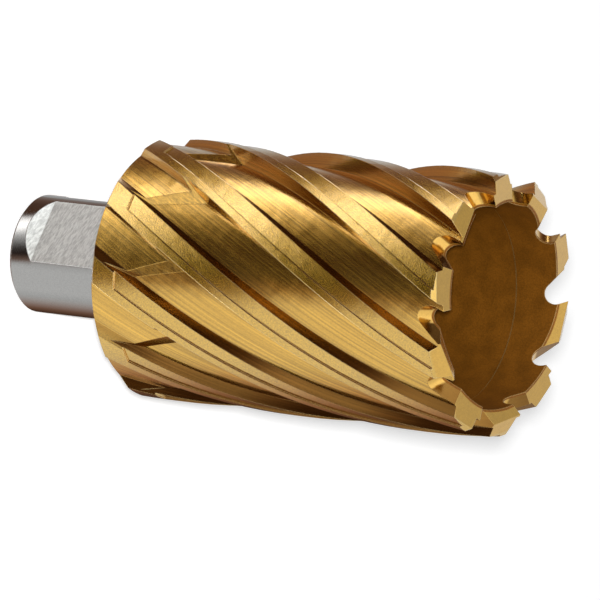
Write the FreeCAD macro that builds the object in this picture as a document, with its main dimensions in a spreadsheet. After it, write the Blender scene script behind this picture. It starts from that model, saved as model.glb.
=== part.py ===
import FreeCAD, Part
import Sketcher
import math
import os

# Annular cutter: a hollow core drill with ten helical flutes, ground teeth and a shank with two clamping flats.
# Millimetres. The origin is the centre of the shank's end face, the axis is +Z and the teeth point up.
# Angles are degrees about +Z. The cutter turns counter-clockwise seen from the teeth, so each tooth
# cuts towards a growing angle, and "ahead" means that way.

NODE = "cutter"
PARTS_FOLDER = "parts"

# Driving dimensions: alias, value, what it is.
SIZES = [
    ("shank_diameter", 19.05, "three-quarter inch shank"),
    ("shank_length", 23.1, "from the end face to the back of the fluted body"),
    ("shank_edge", 0.5, "edge break at the end of the shank"),
    ("flat_depth", 1.87, "depth of each clamping flat below the shank's surface"),
    ("flat_start", 4.4, "height where a flat reaches its full depth"),
    ("flat_wall_angle", 45.0, "slope of the wall that closes a flat"),
    ("flat_turn", 44.2, "turn of the first flat from the first tooth"),
    ("flat_spacing", 90.0, "turn between the two flats"),
    ("pilot_diameter", 6.4, "hole for the pilot pin, through the shank"),
    ("pilot_edge", 0.6, "edge break at both ends of the pilot hole"),
    ("cutter_diameter", 42.0, "over the margins"),
    ("body_length", 64.2, "from the back face to the outer corners of the first teeth"),
    ("back_edge_width", 1.4, "radial width of the sloping edge round the back face"),
    ("back_edge_rise", 1.1, "height of that edge"),
    ("bore_diameter", 32.8, "inside the teeth"),
    ("bore_guide", 7.2, "length of the tight bore behind the corners"),
    ("bore_relief", 0.2, "step in radius behind the tight bore"),
    ("cutting_depth", 51.0, "from the corners down to the floor of the bore"),
    ("floor_edge", 1.2, "slope between the bore and its floor"),
    ("stock", 2.5, "blank above the corners, ground away between and on the teeth"),
    ("tooth_count", 10, "teeth, lands and flutes"),
    ("first_tooth_turn", -161.3, "angle of the first tooth's outer corner"),
    ("helix_lead", 230.0, "rise of the right-hand helix in one turn"),
    ("land_width", 4.05, "land, round the circumference"),
    ("margin_width", 1.45, "full-diameter margin at the front of each land"),
    ("relief_depth", 0.3, "recess behind the margin"),
    ("relief_start", 5.1, "from the back face to the square start of the recess"),
    ("back_face_depth", 1.4, "shallow flute at the tooth side"),
    ("back_face_run", 0.55, "lean of its wall round the circumference"),
    ("back_face_shift", 0.3, "front of that wall ahead of the land's edge in the deep flute"),
    ("back_heel_depth", 1.3, "shallow flute at the heel side"),
    ("back_heel_run", 1.45, "width of its heel wall"),
    ("face_depth", 2.55, "deep flute at the tooth side"),
    ("face_run", 0.48, "lean of its wall round the circumference"),
    ("heel_depth", 1.8, "deep flute at the heel side"),
    ("heel_run", 1.17, "width of its heel wall"),
    ("heel_edge", 0.13, "setback of the deep heel wall from the land"),
    ("ramp_height", 10.9, "from the back face to the middle of the ramp's edge"),
    ("ramp_ahead", 3.88, "from the land's front edge to the middle of the ramp's edge, round the circumference"),
    ("ramp_turn", 18.7, "turn of the ramp's edge from the axis"),
    ("ramp_slope", 27.0, "slope of the ramp down to the deep flute"),
    ("ramp_lead_in", 3.0, "start of the deep pass behind the middle of the ramp's edge"),
    ("gullet_floor", 2.1, "from the corners down to the gullet's floor at the bore"),
    ("gullet_tilt", 30.0, "fall of the gullet's floor towards the outside"),
    ("gullet_ahead", 2.75, "from the tooth's radial plane to the lowest line of the gullet"),
    ("gullet_radius", 1.7, "root of the gullet"),
    ("gullet_face_tilt", 22.6, "lean of the tooth's face, from the axis"),
    ("gullet_back_slope", 38.5, "slope up to the tooth ahead"),
    ("clearance", 7.5, "fall of each ground flank behind its cutting edge"),
    ("flank_ahead", 4.0, "reach of a flank's grinding ahead of the corner"),
    ("flank_behind", 6.8, "reach of a flank's grinding behind the corner"),
    ("chamfer_width", 0.65, "outer chamfer of the first, third, ... teeth"),
    ("chamfer_angle", 45.0, "slope of that chamfer"),
    ("main_angle", 3.0, "rise of their main flank towards the bore"),
    ("second_drop", 0.3, "corners of the second, fourth, ... teeth below the first ones"),
    ("ridge_radius", 18.1, "radius of the ridge on the second, fourth, ... teeth"),
    ("ridge_outer_angle", 26.0, "fall of their outer flank from that ridge"),
    ("ridge_inner_angle", 24.5, "fall of their inner flank from that ridge"),
    ("beyond", 1.5, "how far each cutting shape reaches past the metal"),
]

# Worked-out dimensions: alias, formula over the driving ones.
FORMULAS = [
    ("corner_height", "=shank_length + body_length"),
    ("blank_height", "=corner_height + stock"),
    ("shank_radius", "=shank_diameter / 2"),
    ("body_radius", "=cutter_diameter / 2"),
    ("outside", "=body_radius + beyond"),
    ("bore_radius", "=bore_diameter / 2"),
    ("inside", "=bore_radius - beyond"),
    ("pilot_radius", "=pilot_diameter / 2"),
    ("floor_height", "=corner_height - cutting_depth"),
    ("guide_height", "=corner_height - bore_guide"),
    ("tooth_step", "=360 / tooth_count"),
    ("turn_per_rise", "=360 / helix_lead"),
    ("rise", "=helix_lead / (pi * cutter_diameter)"),
    ("tooth_rise", "=helix_lead / tooth_count"),
    ("land_rise", "=land_width * rise"),
    ("flute_rise", "=tooth_rise - land_rise"),
    ("pass_start", "=shank_length - 2 * beyond"),
    ("pass_turn", "=mod((pass_start - corner_height) * turn_per_rise; tooth_step)"),
    ("pass_length", "=blank_height + tooth_rise + beyond - pass_start"),
    ("relief_level", "=shank_length + relief_start"),
    ("relief_pass_start", "=relief_level - tooth_rise"),
    ("relief_turn", "=mod((relief_pass_start - corner_height) * turn_per_rise; tooth_step)"),
    ("relief_length", "=blank_height + tooth_rise - relief_pass_start"),
    ("ramp_level", "=shank_length + ramp_height"),
    ("ramp_edge_level", "=ramp_level + ramp_ahead * rise"),
    ("ramp_angle", "=mod((ramp_edge_level - corner_height) * turn_per_rise; tooth_step)"),
    ("ramp_radius", "=body_radius - (back_face_depth + back_heel_depth) / 2"),
    ("deep_start", "=ramp_edge_level - ramp_lead_in * rise"),
    ("deep_turn", "=ramp_angle - ramp_lead_in * rise * turn_per_rise"),
    ("deep_length", "=blank_height + tooth_rise + beyond - deep_start"),
    ("flank_top", "=stock + flank_behind * tan(clearance) + beyond"),
    ("ridge_rise", "=(body_radius - ridge_radius) * tan(ridge_outer_angle)"),
    ("gullet_reach", "=(body_radius - bore_radius + beyond) / cos(gullet_tilt) + beyond"),
]


def make_sheet(doc):
    """The spreadsheet that every sketch and feature reads."""
    sheet = doc.addObject("Spreadsheet::Sheet", "sizes")
    rows = [(alias, str(value), note) for alias, value, note in SIZES]
    rows += [(alias, formula, "") for alias, formula in FORMULAS]
    for number, (alias, value, note) in enumerate(rows, start=1):
        sheet.set("A%d" % number, alias)
        sheet.set("B%d" % number, value)
        sheet.setAlias("B%d" % number, alias)
        sheet.set("C%d" % number, note)
    doc.recompute()
    return sheet


def linked(formula):
    """A formula over the sheet's aliases, as an expression on the sheet's cells."""
    words = {alias for alias, *_ in SIZES + FORMULAS}
    out = ""
    word = ""
    for letter in formula + " ":
        if letter.isalnum() or letter == "_":
            word += letter
            continue
        out += ("sizes." + word if word in words else word) + letter
        word = ""
    return out.strip()


def origin_item(body, role):
    """One of the body's own origin planes or axes."""
    return next(item for item in body.Origin.OriginFeatures if item.Role == role)


def make_body(doc, name):
    body = doc.addObject("PartDesign::Body", name)
    body.Label = name
    return body


def make_sketch(body, name, plane, base=(), turns=()):
    """A sketch on an origin plane. base: (axis, formula) shifts in the plane's own directions.
    turns: (angle name, formula) with Yaw about the normal, Pitch about the sketch's y, Roll about its x."""
    sketch = body.newObject("Sketcher::SketchObject", name)
    sketch.AttachmentSupport = [(origin_item(body, plane), "")]
    sketch.MapMode = "FlatFace"
    for axis, formula in base:
        sketch.setExpression("AttachmentOffset.Base." + axis, linked(formula))
    for angle, formula in turns:
        sketch.setExpression("AttachmentOffset.Rotation." + angle, linked(formula))
    return sketch


def constrain(sketch, rule, start, formula):
    """A constraint whose size follows a formula; start is its value while the sketch is drawn."""
    index = sketch.addConstraint(Sketcher.Constraint(*rule, start))
    sketch.setExpression("Constraints[%d]" % index, linked(formula))


def value_of(item, formula):
    """What a formula comes to now."""
    return float(item.evalExpression(linked(formula)))


def draw_outline(sketch, corners):
    """A closed outline of straight lines. corners: (x formula, y formula) of each corner in turn."""
    places = [FreeCAD.Vector(value_of(sketch, across), value_of(sketch, up), 0) for across, up in corners]
    count = len(corners)
    for number in range(count):
        sketch.addGeometry(Part.LineSegment(places[number], places[(number + 1) % count]), False)
    for number in range(count):
        sketch.addConstraint(Sketcher.Constraint("Coincident", number, 2, (number + 1) % count, 1))
    for number, (across, up) in enumerate(corners):
        constrain(sketch, ("DistanceX", -1, 1, number, 1), places[number].x, across)
        constrain(sketch, ("DistanceY", -1, 1, number, 1), places[number].y, up)


def revolve(body, sketch, name):
    feature = body.newObject("PartDesign::Revolution", name)
    feature.Profile = sketch
    feature.ReferenceAxis = (sketch, ["V_Axis"])
    feature.Angle = 360
    return feature


def helix(body, kind, sketch, name, length):
    """A right-hand helical pass of a profile that is drawn in a plane through the axis."""
    feature = body.newObject("PartDesign::" + kind, name)
    feature.Profile = sketch
    feature.ReferenceAxis = (sketch, ["V_Axis"])
    feature.Mode = "pitch-height-angle"
    feature.setExpression("Pitch", linked("helix_lead"))
    feature.setExpression("Height", linked(length))
    return feature


def pocket(body, sketch, name, against, along):
    """A cut that reaches against the sketch's normal and along it, by two lengths."""
    feature = body.newObject("PartDesign::Pocket", name)
    feature.Profile = sketch
    feature.SideType = "Two sides"
    feature.setExpression("Length", linked(against))
    feature.setExpression("Length2", linked(along))
    return feature


def around(body, feature_to_copy, name, count, whole=False):
    """Copies of a feature about the axis, or of the body's whole shape."""
    feature = body.newObject("PartDesign::PolarPattern", name)
    feature.Originals = [feature_to_copy]
    if whole:
        feature.TransformMode = "Whole shape"
    feature.Axis = (origin_item(body, "Z_Axis"), [""])
    feature.Angle = 360
    feature.setExpression("Occurrences", linked(count))
    body.Tip = feature
    return feature


def add_blank(body):
    """The turned blank from its half section: shank, body, stepped bore and pilot hole."""
    sketch = make_sketch(body, "blank_profile", "XZ_Plane")
    draw_outline(sketch, [
        ("pilot_radius + pilot_edge", "0"),
        ("shank_radius - shank_edge", "0"),
        ("shank_radius", "shank_edge"),
        ("shank_radius", "flat_start"),
        ("shank_radius", "shank_length"),
        ("body_radius - back_edge_width", "shank_length"),
        ("body_radius", "shank_length + back_edge_rise"),
        ("body_radius", "blank_height"),
        ("bore_radius", "blank_height"),
        ("bore_radius", "guide_height"),
        ("bore_radius + bore_relief", "guide_height - bore_relief"),
        ("bore_radius + bore_relief", "floor_height + floor_edge"),
        ("bore_radius + bore_relief - floor_edge", "floor_height"),
        ("pilot_radius + pilot_edge", "floor_height"),
        ("pilot_radius", "floor_height - pilot_edge"),
        ("pilot_radius", "pilot_edge"),
    ])
    return revolve(body, sketch, "blank")


def add_flats(body):
    """The two clamping flats, each closed by a sloping wall near the shank's end."""
    flats = []
    for number, turn in enumerate(("flat_turn", "flat_turn - flat_spacing"), start=1):
        sketch = make_sketch(body, "flat_profile_%d" % number, "XZ_Plane", turns=[("Pitch", turn)])
        draw_outline(sketch, [
            ("shank_radius - flat_depth", "flat_start"),
            ("shank_radius + beyond", "flat_start - (flat_depth + beyond) / tan(flat_wall_angle)"),
            ("shank_radius + beyond", "shank_length"),
            ("shank_radius - flat_depth", "shank_length"),
        ])
        flats.append(pocket(body, sketch, "flat_%d" % number, "shank_radius", "shank_radius"))
    return flats


def add_flutes(body):
    """The shallow flutes over the body's whole length, running out through the back face."""
    sketch = make_sketch(body, "flute_profile", "XZ_Plane", base=[("y", "pass_start")],
                         turns=[("Pitch", "pass_turn")])
    draw_outline(sketch, [
        ("outside", "(beyond * back_face_run / back_face_depth - back_face_shift) * rise"),
        ("body_radius - back_face_depth", "-(back_face_shift + back_face_run) * rise"),
        ("body_radius - back_heel_depth", "back_heel_run * rise - flute_rise"),
        ("outside", "-flute_rise - beyond * back_heel_run * rise / back_heel_depth"),
    ])
    flute = helix(body, "SubtractiveHelix", sketch, "flute", "pass_length")
    return around(body, flute, "flutes", "tooth_count")


def make_relief_tool(doc):
    """The strips that lower each land behind its margin, all with a square start."""
    body = make_body(doc, "relief_tool")
    body.AllowCompound = True
    sketch = make_sketch(body, "relief_profile", "XZ_Plane", base=[("y", "relief_pass_start")],
                         turns=[("Pitch", "relief_turn")])
    draw_outline(sketch, [
        ("body_radius - relief_depth", "margin_width * rise"),
        ("outside", "margin_width * rise"),
        ("outside", "land_rise + relief_depth * rise * 2"),
        ("body_radius - relief_depth", "land_rise + relief_depth * rise * 2"),
    ])
    helix(body, "AdditiveHelix", sketch, "relief_pass", "relief_length")
    below = make_sketch(body, "relief_end_profile", "XZ_Plane")
    draw_outline(below, [
        ("-2 * outside", "relief_level"),
        ("-2 * outside", "relief_pass_start - 2 * tooth_rise"),
        ("2 * outside", "relief_pass_start - 2 * tooth_rise"),
        ("2 * outside", "relief_level"),
    ])
    end = pocket(body, below, "relief_end", "2 * outside", "2 * outside")
    around(body, end, "relief_ring", "tooth_count", whole=True)
    return body


def make_deep_tool(doc):
    """The deeper passes of the flutes, each coming down a slanting ramp from the shallow one."""
    body = make_body(doc, "deep_tool")
    body.AllowCompound = True
    sketch = make_sketch(body, "deep_profile", "XZ_Plane", base=[("y", "deep_start")],
                         turns=[("Pitch", "deep_turn")])
    face_lean = "face_run / face_depth"
    heel_lean = "(heel_run - heel_edge) / heel_depth"
    draw_outline(sketch, [
        ("outside", "beyond * %s * rise" % face_lean),
        ("body_radius - face_depth", "-face_run * rise"),
        ("body_radius - heel_depth", "heel_run * rise - flute_rise"),
        ("outside", "(heel_edge - beyond * %s) * rise - flute_rise" % heel_lean),
    ])
    helix(body, "AdditiveHelix", sketch, "deep_pass", "deep_length")
    ramp = make_sketch(body, "ramp_profile", "XY_Plane", base=[("z", "ramp_level")],
                       turns=[("Yaw", "ramp_angle"), ("Roll", "ramp_turn")])
    draw_outline(ramp, [
        ("outside", "-(outside - ramp_radius) / tan(ramp_slope)"),
        ("ramp_radius - 2 * beyond", "2 * beyond / tan(ramp_slope)"),
        ("ramp_radius - 2 * beyond", "-flute_rise"),
        ("outside", "-flute_rise"),
    ])
    end = pocket(body, ramp, "ramp", "flute_rise", "flute_rise / 2")
    around(body, end, "deep_ring", "tooth_count", whole=True)
    return body


def add_tools(body, tools):
    """Cuts the tool bodies out of the cutter."""
    feature = body.newObject("PartDesign::Boolean", "ground_passes")
    feature.Type = "Cut"
    feature.setObjects(tools)
    body.Tip = feature
    return feature


def add_gullets(body):
    """The rounded notch ahead of each tooth, its floor falling towards the outside."""
    sketch = make_sketch(
        body, "gullet_profile", "YZ_Plane",
        base=[("x", "gullet_ahead"), ("y", "corner_height - gullet_floor"), ("z", "bore_radius")],
        turns=[("Roll", "gullet_tilt")])
    draw_notch(sketch)
    gullet = pocket(body, sketch, "gullet", "gullet_reach", "gullet_reach")
    return around(body, gullet, "gullets", "tooth_count")


def draw_notch(sketch):
    """A notch with a round root: a leaning face on the left and a slope on the right."""
    radius = value_of(sketch, "gullet_radius")
    tilt = math.radians(value_of(sketch, "gullet_face_tilt"))
    slope = math.radians(value_of(sketch, "gullet_back_slope"))
    top = 4 * radius
    face_foot = FreeCAD.Vector(-radius * math.cos(tilt), radius + radius * math.sin(tilt), 0)
    back_foot = FreeCAD.Vector(radius * math.sin(slope), radius - radius * math.cos(slope), 0)
    face_top = face_foot + FreeCAD.Vector((top - face_foot.y) * math.tan(tilt), top - face_foot.y, 0)
    back_top = back_foot + FreeCAD.Vector((top - back_foot.y) / math.tan(slope), top - back_foot.y, 0)
    circle = Part.Circle(FreeCAD.Vector(0, radius, 0), FreeCAD.Vector(0, 0, 1), radius)
    face = sketch.addGeometry(Part.LineSegment(face_top, face_foot), False)
    root = sketch.addGeometry(Part.ArcOfCircle(circle, math.pi - tilt, math.pi * 1.5 + slope), False)
    back = sketch.addGeometry(Part.LineSegment(back_foot, back_top), False)
    lid = sketch.addGeometry(Part.LineSegment(back_top, face_top), False)
    for rule in (("Tangent", face, 2, root, 1), ("Tangent", root, 2, back, 1),
                 ("Coincident", back, 2, lid, 1), ("Coincident", lid, 2, face, 1),
                 ("Horizontal", lid), ("PointOnObject", root, 3, -2)):
        sketch.addConstraint(Sketcher.Constraint(*rule))
    constrain(sketch, ("Radius", root), radius, "gullet_radius")
    constrain(sketch, ("DistanceY", -1, 1, root, 3), radius, "gullet_radius")
    constrain(sketch, ("DistanceY", -1, 1, lid, 1), top, "4 * gullet_radius")
    constrain(sketch, ("Angle", face), math.pi * 1.5 - tilt, "270 - gullet_face_tilt")
    constrain(sketch, ("Angle", back), slope, "gullet_back_slope")


def add_flanks(body):
    """The ground tops: flat ones with a chamfer on every other tooth, pitched ones between."""
    first = make_sketch(body, "first_flank_profile", "XZ_Plane", base=[("y", "corner_height")],
                        turns=[("Roll", "clearance")])
    draw_outline(first, [
        ("outside", "-beyond * tan(chamfer_angle)"),
        ("body_radius - chamfer_width", "chamfer_width * tan(chamfer_angle)"),
        ("inside", "chamfer_width * tan(chamfer_angle)"
                   " + (body_radius - chamfer_width - inside) * tan(main_angle)"),
        ("inside", "flank_top"),
        ("outside", "flank_top"),
    ])
    flat = pocket(body, first, "first_flank", "flank_ahead", "flank_behind")
    around(body, flat, "first_flanks", "tooth_count / 2")
    second = make_sketch(body, "second_flank_profile", "XZ_Plane",
                         base=[("y", "corner_height - second_drop")],
                         turns=[("Pitch", "tooth_step"), ("Roll", "clearance")])
    draw_outline(second, [
        ("outside", "-beyond * tan(ridge_outer_angle)"),
        ("ridge_radius", "ridge_rise"),
        ("inside", "ridge_rise - (ridge_radius - inside) * tan(ridge_inner_angle)"),
        ("inside", "flank_top + second_drop"),
        ("outside", "flank_top + second_drop"),
    ])
    pitched = pocket(body, second, "second_flank", "flank_ahead", "flank_behind")
    return around(body, pitched, "second_flanks", "tooth_count / 2")


def keep_stretches(body):
    """Leaves the shank's round end and the stretch between its flats as walls of their own."""
    for feature in body.Group:
        if hasattr(feature, "Refine"):
            feature.Refine = False


def check(doc, body):
    """Stops before anything is written if a feature or the solid has failed."""
    for item in doc.Objects:
        if "Invalid" in item.State or "Error" in item.State:
            raise RuntimeError("%s failed: %s" % (item.Name, item.getStatusString()))
    if body.Shape.isNull() or not body.Shape.isValid() or len(body.Shape.Solids) != 1:
        raise RuntimeError("the cutter isn't one valid solid")


def main():
    doc = FreeCAD.newDocument("annular_cutter")
    make_sheet(doc)
    body = make_body(doc, NODE)
    add_blank(body)
    add_flats(body)
    add_gullets(body)
    add_flanks(body)
    add_flutes(body)
    add_tools(body, [make_relief_tool(doc), make_deep_tool(doc)])
    keep_stretches(body)
    body.setExpression("Placement", linked(
        "create(<<placement>>; create(<<vector>>; 0; 0; 0);"
        " create(<<rotation>>; first_tooth_turn; 0; 0))"))
    doc.recompute()
    check(doc, body)
    os.makedirs(PARTS_FOLDER, exist_ok=True)
    body.Shape.exportStep(os.path.join(PARTS_FOLDER, body.Label + ".step"))
    print("%s: %.0f mm3, %d faces" % (body.Label, body.Shape.Volume, len(body.Shape.Faces)))


main()
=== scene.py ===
import math

import bpy
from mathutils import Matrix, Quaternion, Vector

# The annular cutter dressed for its picture: gold coating on the ground body, bare steel on the shank.
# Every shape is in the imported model. This script adds the finish, the light, the floor and the camera.
# Metres and degrees, in the model's frame: the cutter stands on its shank's end with its teeth up (+Z).

MM = 0.001
FULL_TURN = 2 * math.pi
CIRCLE = 360

# The cutter's own sizes, as far as its finish depends on them.
CUTTER = "cutter"
HELIX_LEAD = 230 * MM
SHANK_RADIUS = 9.525 * MM
BODY_START = 23.1 * MM
BODY_RADIUS = 21 * MM
RELIEF_DEPTH = 0.3 * MM
BORE_RADIUS = 16.6 * MM
BORE_FLOOR = 36.3 * MM
TEETH_START = 76 * MM

# Where each finish lies, by radius, by height or by the way that the surface faces: the value at which it
# starts to show, and the one from which it is full. The heels face backwards, and the teeth's tops upwards.
LAND_RADII = (BODY_RADIUS - 2.5 * RELIEF_DEPTH, BODY_RADIUS - 1.5 * RELIEF_DEPTH)
HEEL_FACING = (-0.5, -0.75)
HEEL_HEIGHTS = (BODY_START, BODY_START + 0.1 * MM)
TOOTH_FACING = (0.25, 0.5)
TOOTH_HEIGHTS = (TEETH_START, TEETH_START + 1 * MM)
BORE_RADII = (BORE_RADIUS + 0.3 * MM, BORE_RADIUS + 0.1 * MM)
BORE_HEIGHTS = (BORE_FLOOR - 0.1 * MM, BORE_FLOOR)
SHANK_RADII = (SHANK_RADIUS + 0.4 * MM, SHANK_RADIUS + 0.2 * MM)
SHANK_HEIGHTS = (BODY_START, BODY_START - 0.02 * MM)
FLAT_RADII = (SHANK_RADIUS - 0.02 * MM, SHANK_RADIUS - 0.06 * MM)
FLAT_HEIGHTS = (1.5 * MM, 1.6 * MM)

# The finishes, each laid over the ones before it. What one doesn't state shows through from below.
# colour: the plain colour. worn: an edge's colour, partly rubbed metal and partly painted highlight. wear:
# how far edges take it.
# depth: how far the marks lighten and darken the colour. relief: how much the marks tilt the surface.
# waves: how much the broad waves tilt it. rough, coat and metal: the shader's own settings.
FINISHES = {
    "flute": {"colour": (0.65, 0.378, 0.055), "worn_glint": (0.88, 0.66, 0.28), "depth": 0.38, "relief": 0.3,
              "waves": 0.35, "rough": 0.17, "coat": 0.45, "metal": 1.0},
    "land": {"colour": (0.61, 0.355, 0.012), "depth": 0.2, "relief": 0.15, "coat": 1.0},
    # The heels' dark brown is painted shade on the flutes' backward walls.
    "heel_painted_shade": {"colour": (0.2, 0.095, 0.022), "rough": 0.2, "coat": 0.0},
    "tooth": {"depth": 0.08, "waves": 0.0},
    # The bore's dark brown is painted shade for the deep hollow; its edges take the light edge colour as
    # painted highlight.
    "bore": {"colour": (0.23, 0.085, 0.008), "wear_glint": 0.5, "depth": 0.2, "rough": 0.55, "coat": 0.0,
             "metal": 0.45},
    "shank": {"colour": (0.37, 0.368, 0.358), "worn_glint": (0.6, 0.59, 0.57), "wear_glint": 0.6, "depth": 0.05,
              "relief": 0.04, "waves": 0.0, "rough": 0.07, "coat": 0.0},
    "flat": {"colour": (0.66, 0.675, 0.655), "depth": 0.25, "relief": 0.6, "rough": 0.35},
}
COAT_ROUGHNESS = 0.1
COAT_IOR = 2.0
ANISOTROPY = 0.5

# The marks: scale, detail and roughness of each noise. Brush lines are stretched along the helix, and the
# flats' milled marks run across them on a slant.
FINE_LINES = (3000.0, 2.0, 0.6)
BROAD_LINES = (1100.0, 2.0, 0.5)
BROAD_SHARE = 0.4
LINE_STRETCH = (1, 1, 0.006)
GRAIN = (4200.0, 2.0, 0.7)
GRAIN_SHARE = 0.2
MILLED_MARKS = (3000.0, 3.0, 0.7)
MILLED_STRETCH = 0.3
MILLED_SLANT = 0.3
WAVES = (320.0, 1.0, 0.5)
MARK_LEVELS = (0.3, 0.7)
MARK_DISTANCE = 0.05 * MM
WAVE_DISTANCE = 0.06 * MM

# Broad patches in the bore, lighter and darker at random: where the waves change the tone, and from what to
# what.
PATCH_LEVELS = (0.25, 0.75)
PATCH_TONES = (0.86, 1.16)

# Edges, partly rubbed metal and partly painted highlight: a normal rounded over a small radius leaves the
# face's own there.
# The body's edges get more of it from the inner radius to the outer one.
EDGE_RADIUS = 0.18 * MM
EDGE_SAMPLES = 4
EDGE_LEVELS = (0.998, 0.93)
WEAR_GLINT_RADII = (BODY_RADIUS - 1.4 * MM, BODY_RADIUS - 0.6 * MM)
WEAR_GLINT_LEVELS = (0.1, 0.7)

# The camera: a long lens, turned so that the cutter lies across the picture as it does in the photograph.
LENS = 532.47
SENSOR_WIDTH = 36
CLIP_START = 0.05
CLIP_END = 100
CAMERA_AIM = (2.713 * MM, 0, 50.188 * MM)
CAMERA_DISTANCE = 1.40875
CAMERA_AZIMUTH = -89.973
CAMERA_ELEVATION = 32.456
CAMERA_ROLL = 96.637

# The lamp beside the camera, in metres across and watts.
LAMP_AZIMUTH = 269.25
LAMP_ELEVATION = 32.46
LAMP_SIZE = 0.03
LAMP_POWER = 20

# The floor: a disc whose own glow brings it to white round the shadow.
FLOOR_RADIUS = 6
FLOOR_CORNERS = 96
FLOOR_GREY = 0.8
FLOOR_GLOW = 0.42

# The studio that the metal mirrors. Each ring of light runs by azimuth from +X towards +Y: azimuth,
# brightness, and how brown it is. The pairs are elevations between which one ring gives way to the next.
TABLE = [
    (0, 0.86, 0.0),
    (8, 0.80, 0.1),
    (18, 0.67, 0.3),
    (30, 0.47, 0.6),
    (42, 0.29, 0.9),
    (54, 0.16, 1.0),
    (66, 0.08, 1.0),
    (80, 0.10, 0.8),
    (92, 0.40, 0.3),
    (104, 0.55, 0.0),
    (116, 0.48, 0.0),
    (128, 0.34, 0.4),
    (140, 0.22, 0.8),
    (156, 0.15, 0.9),
    (176, 0.14, 1.0),
    (216, 0.08, 1.0),
    (236, 0.03, 1.0),
    (272, 0.03, 1.0),
    (284, 0.30, 0.7),
    (293, 0.92, 0.0),
    (300, 1.02, 0.0),
    (345, 1.02, 0.0),
]
WALL = [
    (0, 0.90, 0.0),
    (60, 0.80, 0.0),
    (118, 0.80, 0.0),
    (132, 0.30, 0.6),
    (146, 0.10, 0.9),
    (215, 0.09, 0.9),
    (230, 0.20, 0.9),
    (240, 0.90, 0.1),
    (250, 1.30, 0.0),
    (262, 0.95, 0.0),
    (280, 0.90, 0.0),
    (292, 0.40, 0.5),
    (306, 0.10, 0.9),
    (335, 0.10, 0.9),
    (350, 0.60, 0.3),
]
CEILING = [
    (0, 1.20, 0.0),
    (60, 0.75, 0.0),
    (120, 0.55, 0.0),
    (145, 0.55, 0.0),
    (162, 1.40, 0.0),
    (200, 1.50, 0.0),
    (345, 1.40, 0.0),
]
BELOW = [
    (0, 0.80, 0.2),
    (45, 0.90, 0.1),
    (65, 0.50, 0.4),
    (110, 0.30, 0.8),
    (190, 0.35, 0.8),
    (250, 0.90, 0.1),
    (335, 0.60, 0.3),
]
BELOW_TO_TABLE = (-66, -54)
TABLE_TO_WALL = (-24, -17)
WALL_TO_CEILING = (22, 38)

# The table's middle, how far its edges lean for each degree above that, and how far up and down they do.
TABLE_ELEVATION = -32.5
TABLE_LEAN = 2.36
TABLE_LEAN_REACH = 12

# One long strip light over the table: where its middle crosses the table's, how much it sinks for each
# degree of azimuth, and its profile across: distance from the middle, brightness.
STRIP_AZIMUTH = 218
STRIP_SINK = 0.13
STRIP_HALF_WIDTH = 10
STRIP = [
    (-10, 0.0),
    (-5.0, 0.0),
    (-4.0, 1.6),
    (-3.0, 2.9),
    (-1.2, 3.1),
    (0.0, 1.7),
    (1.0, 0.95),
    (2.6, 0.42),
    (4.2, 0.06),
    (6.0, 0.0),
    (10, 0.0),
]

# What brown takes away from red, green and blue, the light on matt surfaces, and plain white.
BROWN = (0.0, 0.52, 0.72)
MATT_LEVEL = 0.3
WHITE = (1, 1, 1)

# The Mix node has sockets of its own for each kind of value: share, first, second and result.
NUMBER_SOCKETS = (0, 2, 3, 0)
COLOUR_SOCKETS = (0, 6, 7, 2)


class Tree:
    """Short calls that add nodes to one node tree. A value is a number, a tuple or another node's output."""

    def __init__(self, tree):
        self.tree = tree
        tree.nodes.clear()

    def add(self, kind, values=(), **settings):
        node = self.tree.nodes.new(kind)
        for name, value in settings.items():
            setattr(node, name, value)
        for name, value in dict(values).items():
            self.feed(node.inputs[name], value)
        return node

    def feed(self, socket, value):
        if isinstance(value, bpy.types.NodeSocket):
            self.tree.links.new(value, socket)
        elif socket.type == "RGBA":
            socket.default_value = (*value, 1)
        else:
            socket.default_value = value

    def maths(self, operation, *values):
        return self.add("ShaderNodeMath", enumerate(values), operation=operation).outputs[0]

    def both(self, first, second):
        """The share of a spot that lies in two places at once."""
        return self.maths("MULTIPLY", first, second)

    def within(self, value, reach):
        """A number kept between -reach and reach."""
        return self.maths("MAXIMUM", self.maths("MINIMUM", value, reach), -reach)

    def circle(self, azimuth):
        """An azimuth brought to between 0 and a full circle."""
        return self.maths("WRAP", azimuth, CIRCLE, 0)

    def vector(self, operation, *values):
        node = self.add("ShaderNodeVectorMath", enumerate(values), operation=operation)
        return node.outputs["Value" if operation in ("DOT_PRODUCT", "LENGTH") else "Vector"]

    def scaled(self, vector, size):
        values = {0: vector, "Scale": size}
        return self.add("ShaderNodeVectorMath", values, operation="SCALE").outputs["Vector"]

    def parts(self, vector):
        return self.add("ShaderNodeSeparateXYZ", {0: vector}).outputs

    def join(self, x, y, z):
        return self.add("ShaderNodeCombineXYZ", {0: x, 1: y, 2: z}).outputs[0]

    def step(self, value, low, high, first=0.0, last=1.0):
        """A smooth change from first at low to last at high."""
        values = {"Value": value, "From Min": low, "From Max": high, "To Min": first, "To Max": last}
        return self.add("ShaderNodeMapRange", values, interpolation_type="SMOOTHSTEP").outputs[0]

    def add_mix(self, kind, sockets, *values):
        """A Mix node. values: the share of the second, the first and the second."""
        node = self.add("ShaderNodeMix", data_type=kind)
        *entries, result = sockets
        for number, value in zip(entries, values):
            self.feed(node.inputs[number], value)
        return node.outputs[result]

    def mix(self, share, first, second):
        """A colour between two."""
        return self.add_mix("RGBA", COLOUR_SOCKETS, share, first, second)

    def blend(self, share, first, second):
        """A number between two."""
        return self.add_mix("FLOAT", NUMBER_SOCKETS, share, first, second)

    def noise(self, place, scale, detail, rough):
        values = {"Vector": place, "Scale": scale, "Detail": detail, "Roughness": rough}
        return self.add("ShaderNodeTexNoise", values).outputs["Fac"]


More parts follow.
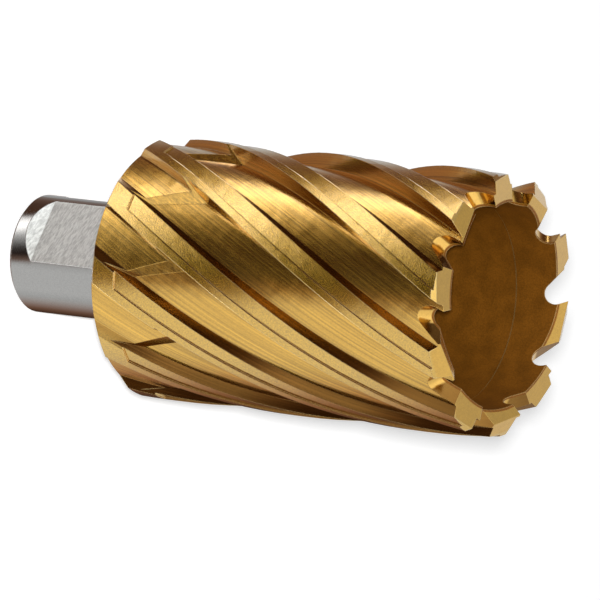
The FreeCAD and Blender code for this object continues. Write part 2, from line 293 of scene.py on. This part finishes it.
def ramp(tree, value, low, high, stops):
    """A colour ramp over a range. stops: (value, colour)."""
    share = tree.add("ShaderNodeMapRange", {"Value": value, "From Min": low, "From Max": high}).outputs[0]
    node = tree.add("ShaderNodeValToRGB", {"Fac": share})
    marks = node.color_ramp.elements
    while len(marks) < len(stops):
        marks.new(0.5)
    for mark, (place, colour) in zip(marks, stops):
        mark.position = (place - low) / (high - low)
        mark.color = (*colour, 1)
    return node.outputs["Color"]


def warm(level, brown):
    """A grey level turned towards brown."""
    return tuple(level * (1 - part * brown) for part in BROWN)


def ring(tree, azimuth, stops):
    """Light that runs all round by azimuth. stops: (azimuth, brightness, how brown)."""
    around = stops + [(CIRCLE, *stops[0][1:])]
    return ramp(tree, azimuth, 0, CIRCLE, [(place, warm(level, brown)) for place, level, brown in around])


def table_light(tree, azimuth, lift):
    """The ring below the horizon, its edges leaning with the height over its middle."""
    leaning = tree.maths("MULTIPLY_ADD", tree.within(lift, TABLE_LEAN_REACH), TABLE_LEAN, azimuth)
    return ring(tree, tree.circle(leaning), TABLE)


def strip_light(tree, azimuth, lift):
    """The strip over the table, black on both sides of it."""
    aside = tree.maths("SUBTRACT", azimuth, STRIP_AZIMUTH)
    across = tree.maths("MULTIPLY_ADD", aside, STRIP_SINK, lift)
    stops = [(place, warm(level, 0.0)) for place, level in STRIP]
    return ramp(tree, tree.within(across, STRIP_HALF_WIDTH), -STRIP_HALF_WIDTH, STRIP_HALF_WIDTH, stops)


def make_studio():
    """The world: white to the camera, grey to matt surfaces, and a table, walls and ceiling to the metal."""
    world = bpy.data.worlds.new("studio")
    bpy.context.scene.world = world
    world.use_nodes = True
    tree = Tree(world.node_tree)
    x, y, z = tree.parts(tree.add("ShaderNodeTexCoord").outputs["Generated"])
    azimuth = tree.circle(tree.maths("DEGREES", tree.maths("ARCTAN2", y, x)))
    elevation = tree.maths("DEGREES", tree.maths("ARCSINE", z))
    lift = tree.maths("SUBTRACT", elevation, TABLE_ELEVATION)
    table = tree.vector("ADD", table_light(tree, azimuth, lift), strip_light(tree, azimuth, lift))

    light = tree.mix(tree.step(elevation, *BELOW_TO_TABLE), ring(tree, azimuth, BELOW), table)
    light = tree.mix(tree.step(elevation, *TABLE_TO_WALL), light, ring(tree, azimuth, WALL))
    light = tree.mix(tree.step(elevation, *WALL_TO_CEILING), light, ring(tree, azimuth, CEILING))
    path = tree.add("ShaderNodeLightPath").outputs
    light = tree.mix(path["Is Diffuse Ray"], light, warm(MATT_LEVEL, 0.0))
    light = tree.mix(path["Is Camera Ray"], light, WHITE)
    shown = tree.add("ShaderNodeBackground", {"Color": light})
    tree.add("ShaderNodeOutputWorld", {"Surface": shown.outputs[0]})


def floor_paper():
    """White with a faint shadow to the camera, matt to the rest, and clear to what the metal mirrors."""
    material = bpy.data.materials.new("floor")
    material.use_nodes = True
    tree = Tree(material.node_tree)
    path = tree.add("ShaderNodeLightPath").outputs
    matt = tree.add("ShaderNodeBsdfDiffuse", {"Color": warm(FLOOR_GREY, 0.0)}).outputs[0]
    glow = tree.add("ShaderNodeEmission", {"Color": WHITE, "Strength": FLOOR_GLOW}).outputs[0]
    clear = tree.add("ShaderNodeBsdfTransparent").outputs[0]
    seen = tree.add("ShaderNodeAddShader", {0: matt, 1: glow}).outputs[0]
    plain = tree.add("ShaderNodeMixShader", {0: path["Is Camera Ray"], 1: matt, 2: seen}).outputs[0]
    shown = tree.add("ShaderNodeMixShader", {0: path["Is Glossy Ray"], 1: plain, 2: clear}).outputs[0]
    tree.add("ShaderNodeOutputMaterial", {"Surface": shown})
    return material


def make_floor():
    bpy.ops.mesh.primitive_circle_add(
        vertices=FLOOR_CORNERS, radius=FLOOR_RADIUS, fill_type="NGON", location=(0, 0, 0))
    floor = bpy.context.object
    floor.name = "floor"
    floor.data.materials.append(floor_paper())


def direction(azimuth, elevation):
    """The unit vector at an azimuth from +X towards +Y and an elevation."""
    turn, rise = math.radians(azimuth), math.radians(elevation)
    return Vector((math.cos(rise) * math.cos(turn), math.cos(rise) * math.sin(turn), math.sin(rise)))


def add_facing(name, data, azimuth, elevation, roll=0.0):
    """An object at the camera's distance from what the camera aims at, facing it."""
    item = bpy.data.objects.new(name, data)
    bpy.context.collection.objects.link(item)
    back = direction(azimuth, elevation)
    item.location = Vector(CAMERA_AIM) + back * CAMERA_DISTANCE
    item.rotation_mode = "QUATERNION"
    item.rotation_quaternion = Quaternion(back, math.radians(roll)) @ (-back).to_track_quat("-Z", "Y")
    return item


def make_camera():
    lens = bpy.data.cameras.new("camera")
    lens.lens = LENS
    lens.sensor_width = SENSOR_WIDTH
    lens.clip_start = CLIP_START
    lens.clip_end = CLIP_END
    camera = add_facing("camera", lens, CAMERA_AZIMUTH, CAMERA_ELEVATION, CAMERA_ROLL)
    bpy.context.scene.camera = camera


def make_lamp():
    """A soft lamp that only matt surfaces see. It casts the shadow."""
    lamp = bpy.data.lights.new("key", "AREA")
    lamp.size = LAMP_SIZE
    lamp.energy = LAMP_POWER
    item = add_facing("key", lamp, LAMP_AZIMUTH, LAMP_ELEVATION)
    item.visible_glossy = False
    item.visible_camera = False


def outward(tree, place):
    """The way from the axis to a spot, at the spot's own height."""
    return tree.vector("MULTIPLY", place, (1, 1, 0))


def turning(tree, place, rise):
    """The way that a spot moves as the cutter turns by one radian and rises by a height."""
    x, y, z = tree.parts(place)
    return tree.join(tree.maths("MULTIPLY", y, -1.0), x, rise)


def find_places(tree, place, normal):
    """How far each spot belongs to each finish but the flutes', in the order in which they are laid."""
    height = tree.parts(place)[2]
    radius = tree.vector("LENGTH", outward(tree, place))
    ahead = tree.vector("NORMALIZE", turning(tree, place, 0.0))
    facing_ahead = tree.vector("DOT_PRODUCT", normal, ahead)
    facing_up = tree.parts(normal)[2]
    shank = tree.both(tree.step(height, *SHANK_HEIGHTS), tree.step(radius, *SHANK_RADII))
    flat = tree.both(tree.step(height, *FLAT_HEIGHTS), tree.step(radius, *FLAT_RADII))
    return {
        "land": tree.step(radius, *LAND_RADII),
        "heel_painted_shade": tree.both(tree.step(facing_ahead, *HEEL_FACING), tree.step(height, *HEEL_HEIGHTS)),
        "tooth": tree.both(tree.step(facing_up, *TOOTH_FACING), tree.step(height, *TOOTH_HEIGHTS)),
        "bore": tree.both(tree.step(height, *BORE_HEIGHTS), tree.step(radius, *BORE_RADII)),
        "shank": shank,
        "flat": tree.both(shank, flat),
    }


def stated(key):
    """What each finish states under one key."""
    return {name: finish[key] for name, finish in FINISHES.items() if key in finish}


def lay(between, places, values):
    """Each finish's value laid over the flutes'. between: tree.mix for colours, tree.blend for numbers."""
    laid = values["flute"]
    for name, share in places.items():
        if name in values:
            laid = between(share, laid, values[name])
    return laid


def make_marks(tree, place):
    """Brush lines along the helix in the flutes, grain on the rest, and milled marks on the flats."""
    x, y, z = tree.parts(place)
    turn_back = tree.maths("MULTIPLY", z, -FULL_TURN / HELIX_LEAD)
    straight = tree.add("ShaderNodeVectorRotate", {"Vector": place, "Angle": turn_back},
                        rotation_type="Z_AXIS").outputs[0]
    along = tree.vector("MULTIPLY", straight, LINE_STRETCH)
    lines = tree.blend(BROAD_SHARE, tree.noise(along, *FINE_LINES), tree.noise(along, *BROAD_LINES))
    grain = tree.noise(place, *GRAIN)
    slanted = tree.join(tree.maths("MULTIPLY", x, MILLED_STRETCH), tree.maths("MULTIPLY", y, MILLED_STRETCH),
                        tree.maths("MULTIPLY_ADD", x, MILLED_SLANT, z))
    return {
        "flute": tree.blend(GRAIN_SHARE, lines, grain),
        "land": grain,
        "bore": grain,
        "shank": grain,
        "flat": tree.noise(slanted, *MILLED_MARKS),
    }


def make_tone(tree, places, marks, waves):
    """How much lighter or darker the marks make the colour, and the patches in the bore."""
    shade = tree.step(marks, *MARK_LEVELS, -1.0, 1.0)
    tone = tree.maths("MULTIPLY_ADD", shade, lay(tree.blend, places, stated("depth")), 1.0)
    patches = tree.blend(places["bore"], 1.0, tree.step(waves, *PATCH_LEVELS, *PATCH_TONES))
    return tree.maths("MULTIPLY", tone, patches)


def make_wear_glint(tree, place, places, normal, rounded):
    """How far each spot takes the edge colour, partly rubbed metal and partly painted highlight: only near
    an edge, and more on the outer edges than on the inner ones.
    """
    edge = tree.step(tree.vector("DOT_PRODUCT", rounded, normal), *EDGE_LEVELS)
    radius = tree.vector("LENGTH", outward(tree, place))
    by_radius = tree.step(radius, *WEAR_GLINT_RADII, *WEAR_GLINT_LEVELS)
    return tree.maths("MULTIPLY", edge, lay(tree.blend, places, {"flute": by_radius, **stated("wear_glint")}))


def make_relief(tree, places, marks, waves, rounded):
    """The normal with rounded edges, tilted by the broad waves and then by the marks."""
    uneven = tree.add("ShaderNodeBump", {
        "Height": waves,
        "Strength": lay(tree.blend, places, stated("waves")),
        "Distance": WAVE_DISTANCE,
        "Normal": rounded,
    }).outputs[0]
    return tree.add("ShaderNodeBump", {
        "Height": marks,
        "Strength": lay(tree.blend, places, stated("relief")),
        "Distance": MARK_DISTANCE,
        "Normal": uneven,
    }).outputs[0]


def across_helix(tree, place):
    """The way across the brush lines, in which they spread a highlight."""
    helix = turning(tree, place, HELIX_LEAD / FULL_TURN)
    return tree.vector("NORMALIZE", tree.vector("CROSS_PRODUCT", outward(tree, place), helix))


def coated_steel():
    """Gold nitride coating over brushed flutes and ground lands, and bare ground steel on the shank."""
    material = bpy.data.materials.new("coated_steel")
    material.use_nodes = True
    tree = Tree(material.node_tree)
    place = tree.add("ShaderNodeTexCoord").outputs["Object"]
    normal = tree.add("ShaderNodeNewGeometry").outputs["Normal"]
    rounded = tree.add("ShaderNodeBevel", {"Radius": EDGE_RADIUS}, samples=EDGE_SAMPLES).outputs[0]
    places = find_places(tree, place, normal)
    marks = lay(tree.blend, places, make_marks(tree, place))
    waves = tree.noise(place, *WAVES)

    plain = lay(tree.mix, places, stated("colour"))
    toned = tree.scaled(plain, make_tone(tree, places, marks, waves))
    worn_glint = lay(tree.mix, places, stated("worn_glint"))
    tilted = make_relief(tree, places, marks, waves, rounded)
    skin = tree.add("ShaderNodeBsdfPrincipled", {
        # The edges' lighter colour is partly rubbed metal and partly painted highlight.
        "Base Color": tree.mix(make_wear_glint(tree, place, places, normal, rounded), toned, worn_glint),
        "Metallic": lay(tree.blend, places, stated("metal")),
        "Roughness": lay(tree.blend, places, stated("rough")),
        "Anisotropic": ANISOTROPY,
        "Coat Weight": lay(tree.blend, places, stated("coat")),
        "Coat Roughness": COAT_ROUGHNESS,
        "Coat IOR": COAT_IOR,
        "Tangent": across_helix(tree, place),
        "Normal": tilted,
        "Coat Normal": tilted,
    })
    tree.add("ShaderNodeOutputMaterial", {"Surface": skin.outputs[0]})
    return material


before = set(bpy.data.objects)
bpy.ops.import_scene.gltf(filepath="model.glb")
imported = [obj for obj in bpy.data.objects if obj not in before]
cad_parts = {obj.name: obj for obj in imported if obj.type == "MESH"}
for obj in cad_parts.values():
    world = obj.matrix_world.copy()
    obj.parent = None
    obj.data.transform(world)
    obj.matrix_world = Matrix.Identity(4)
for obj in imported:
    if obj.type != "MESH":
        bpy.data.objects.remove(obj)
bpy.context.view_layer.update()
bpy.context.scene.view_settings.view_transform = "Standard"

make_studio()
make_floor()
make_camera()
make_lamp()

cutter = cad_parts[CUTTER]
cutter.material_slots[0].material = coated_steel()
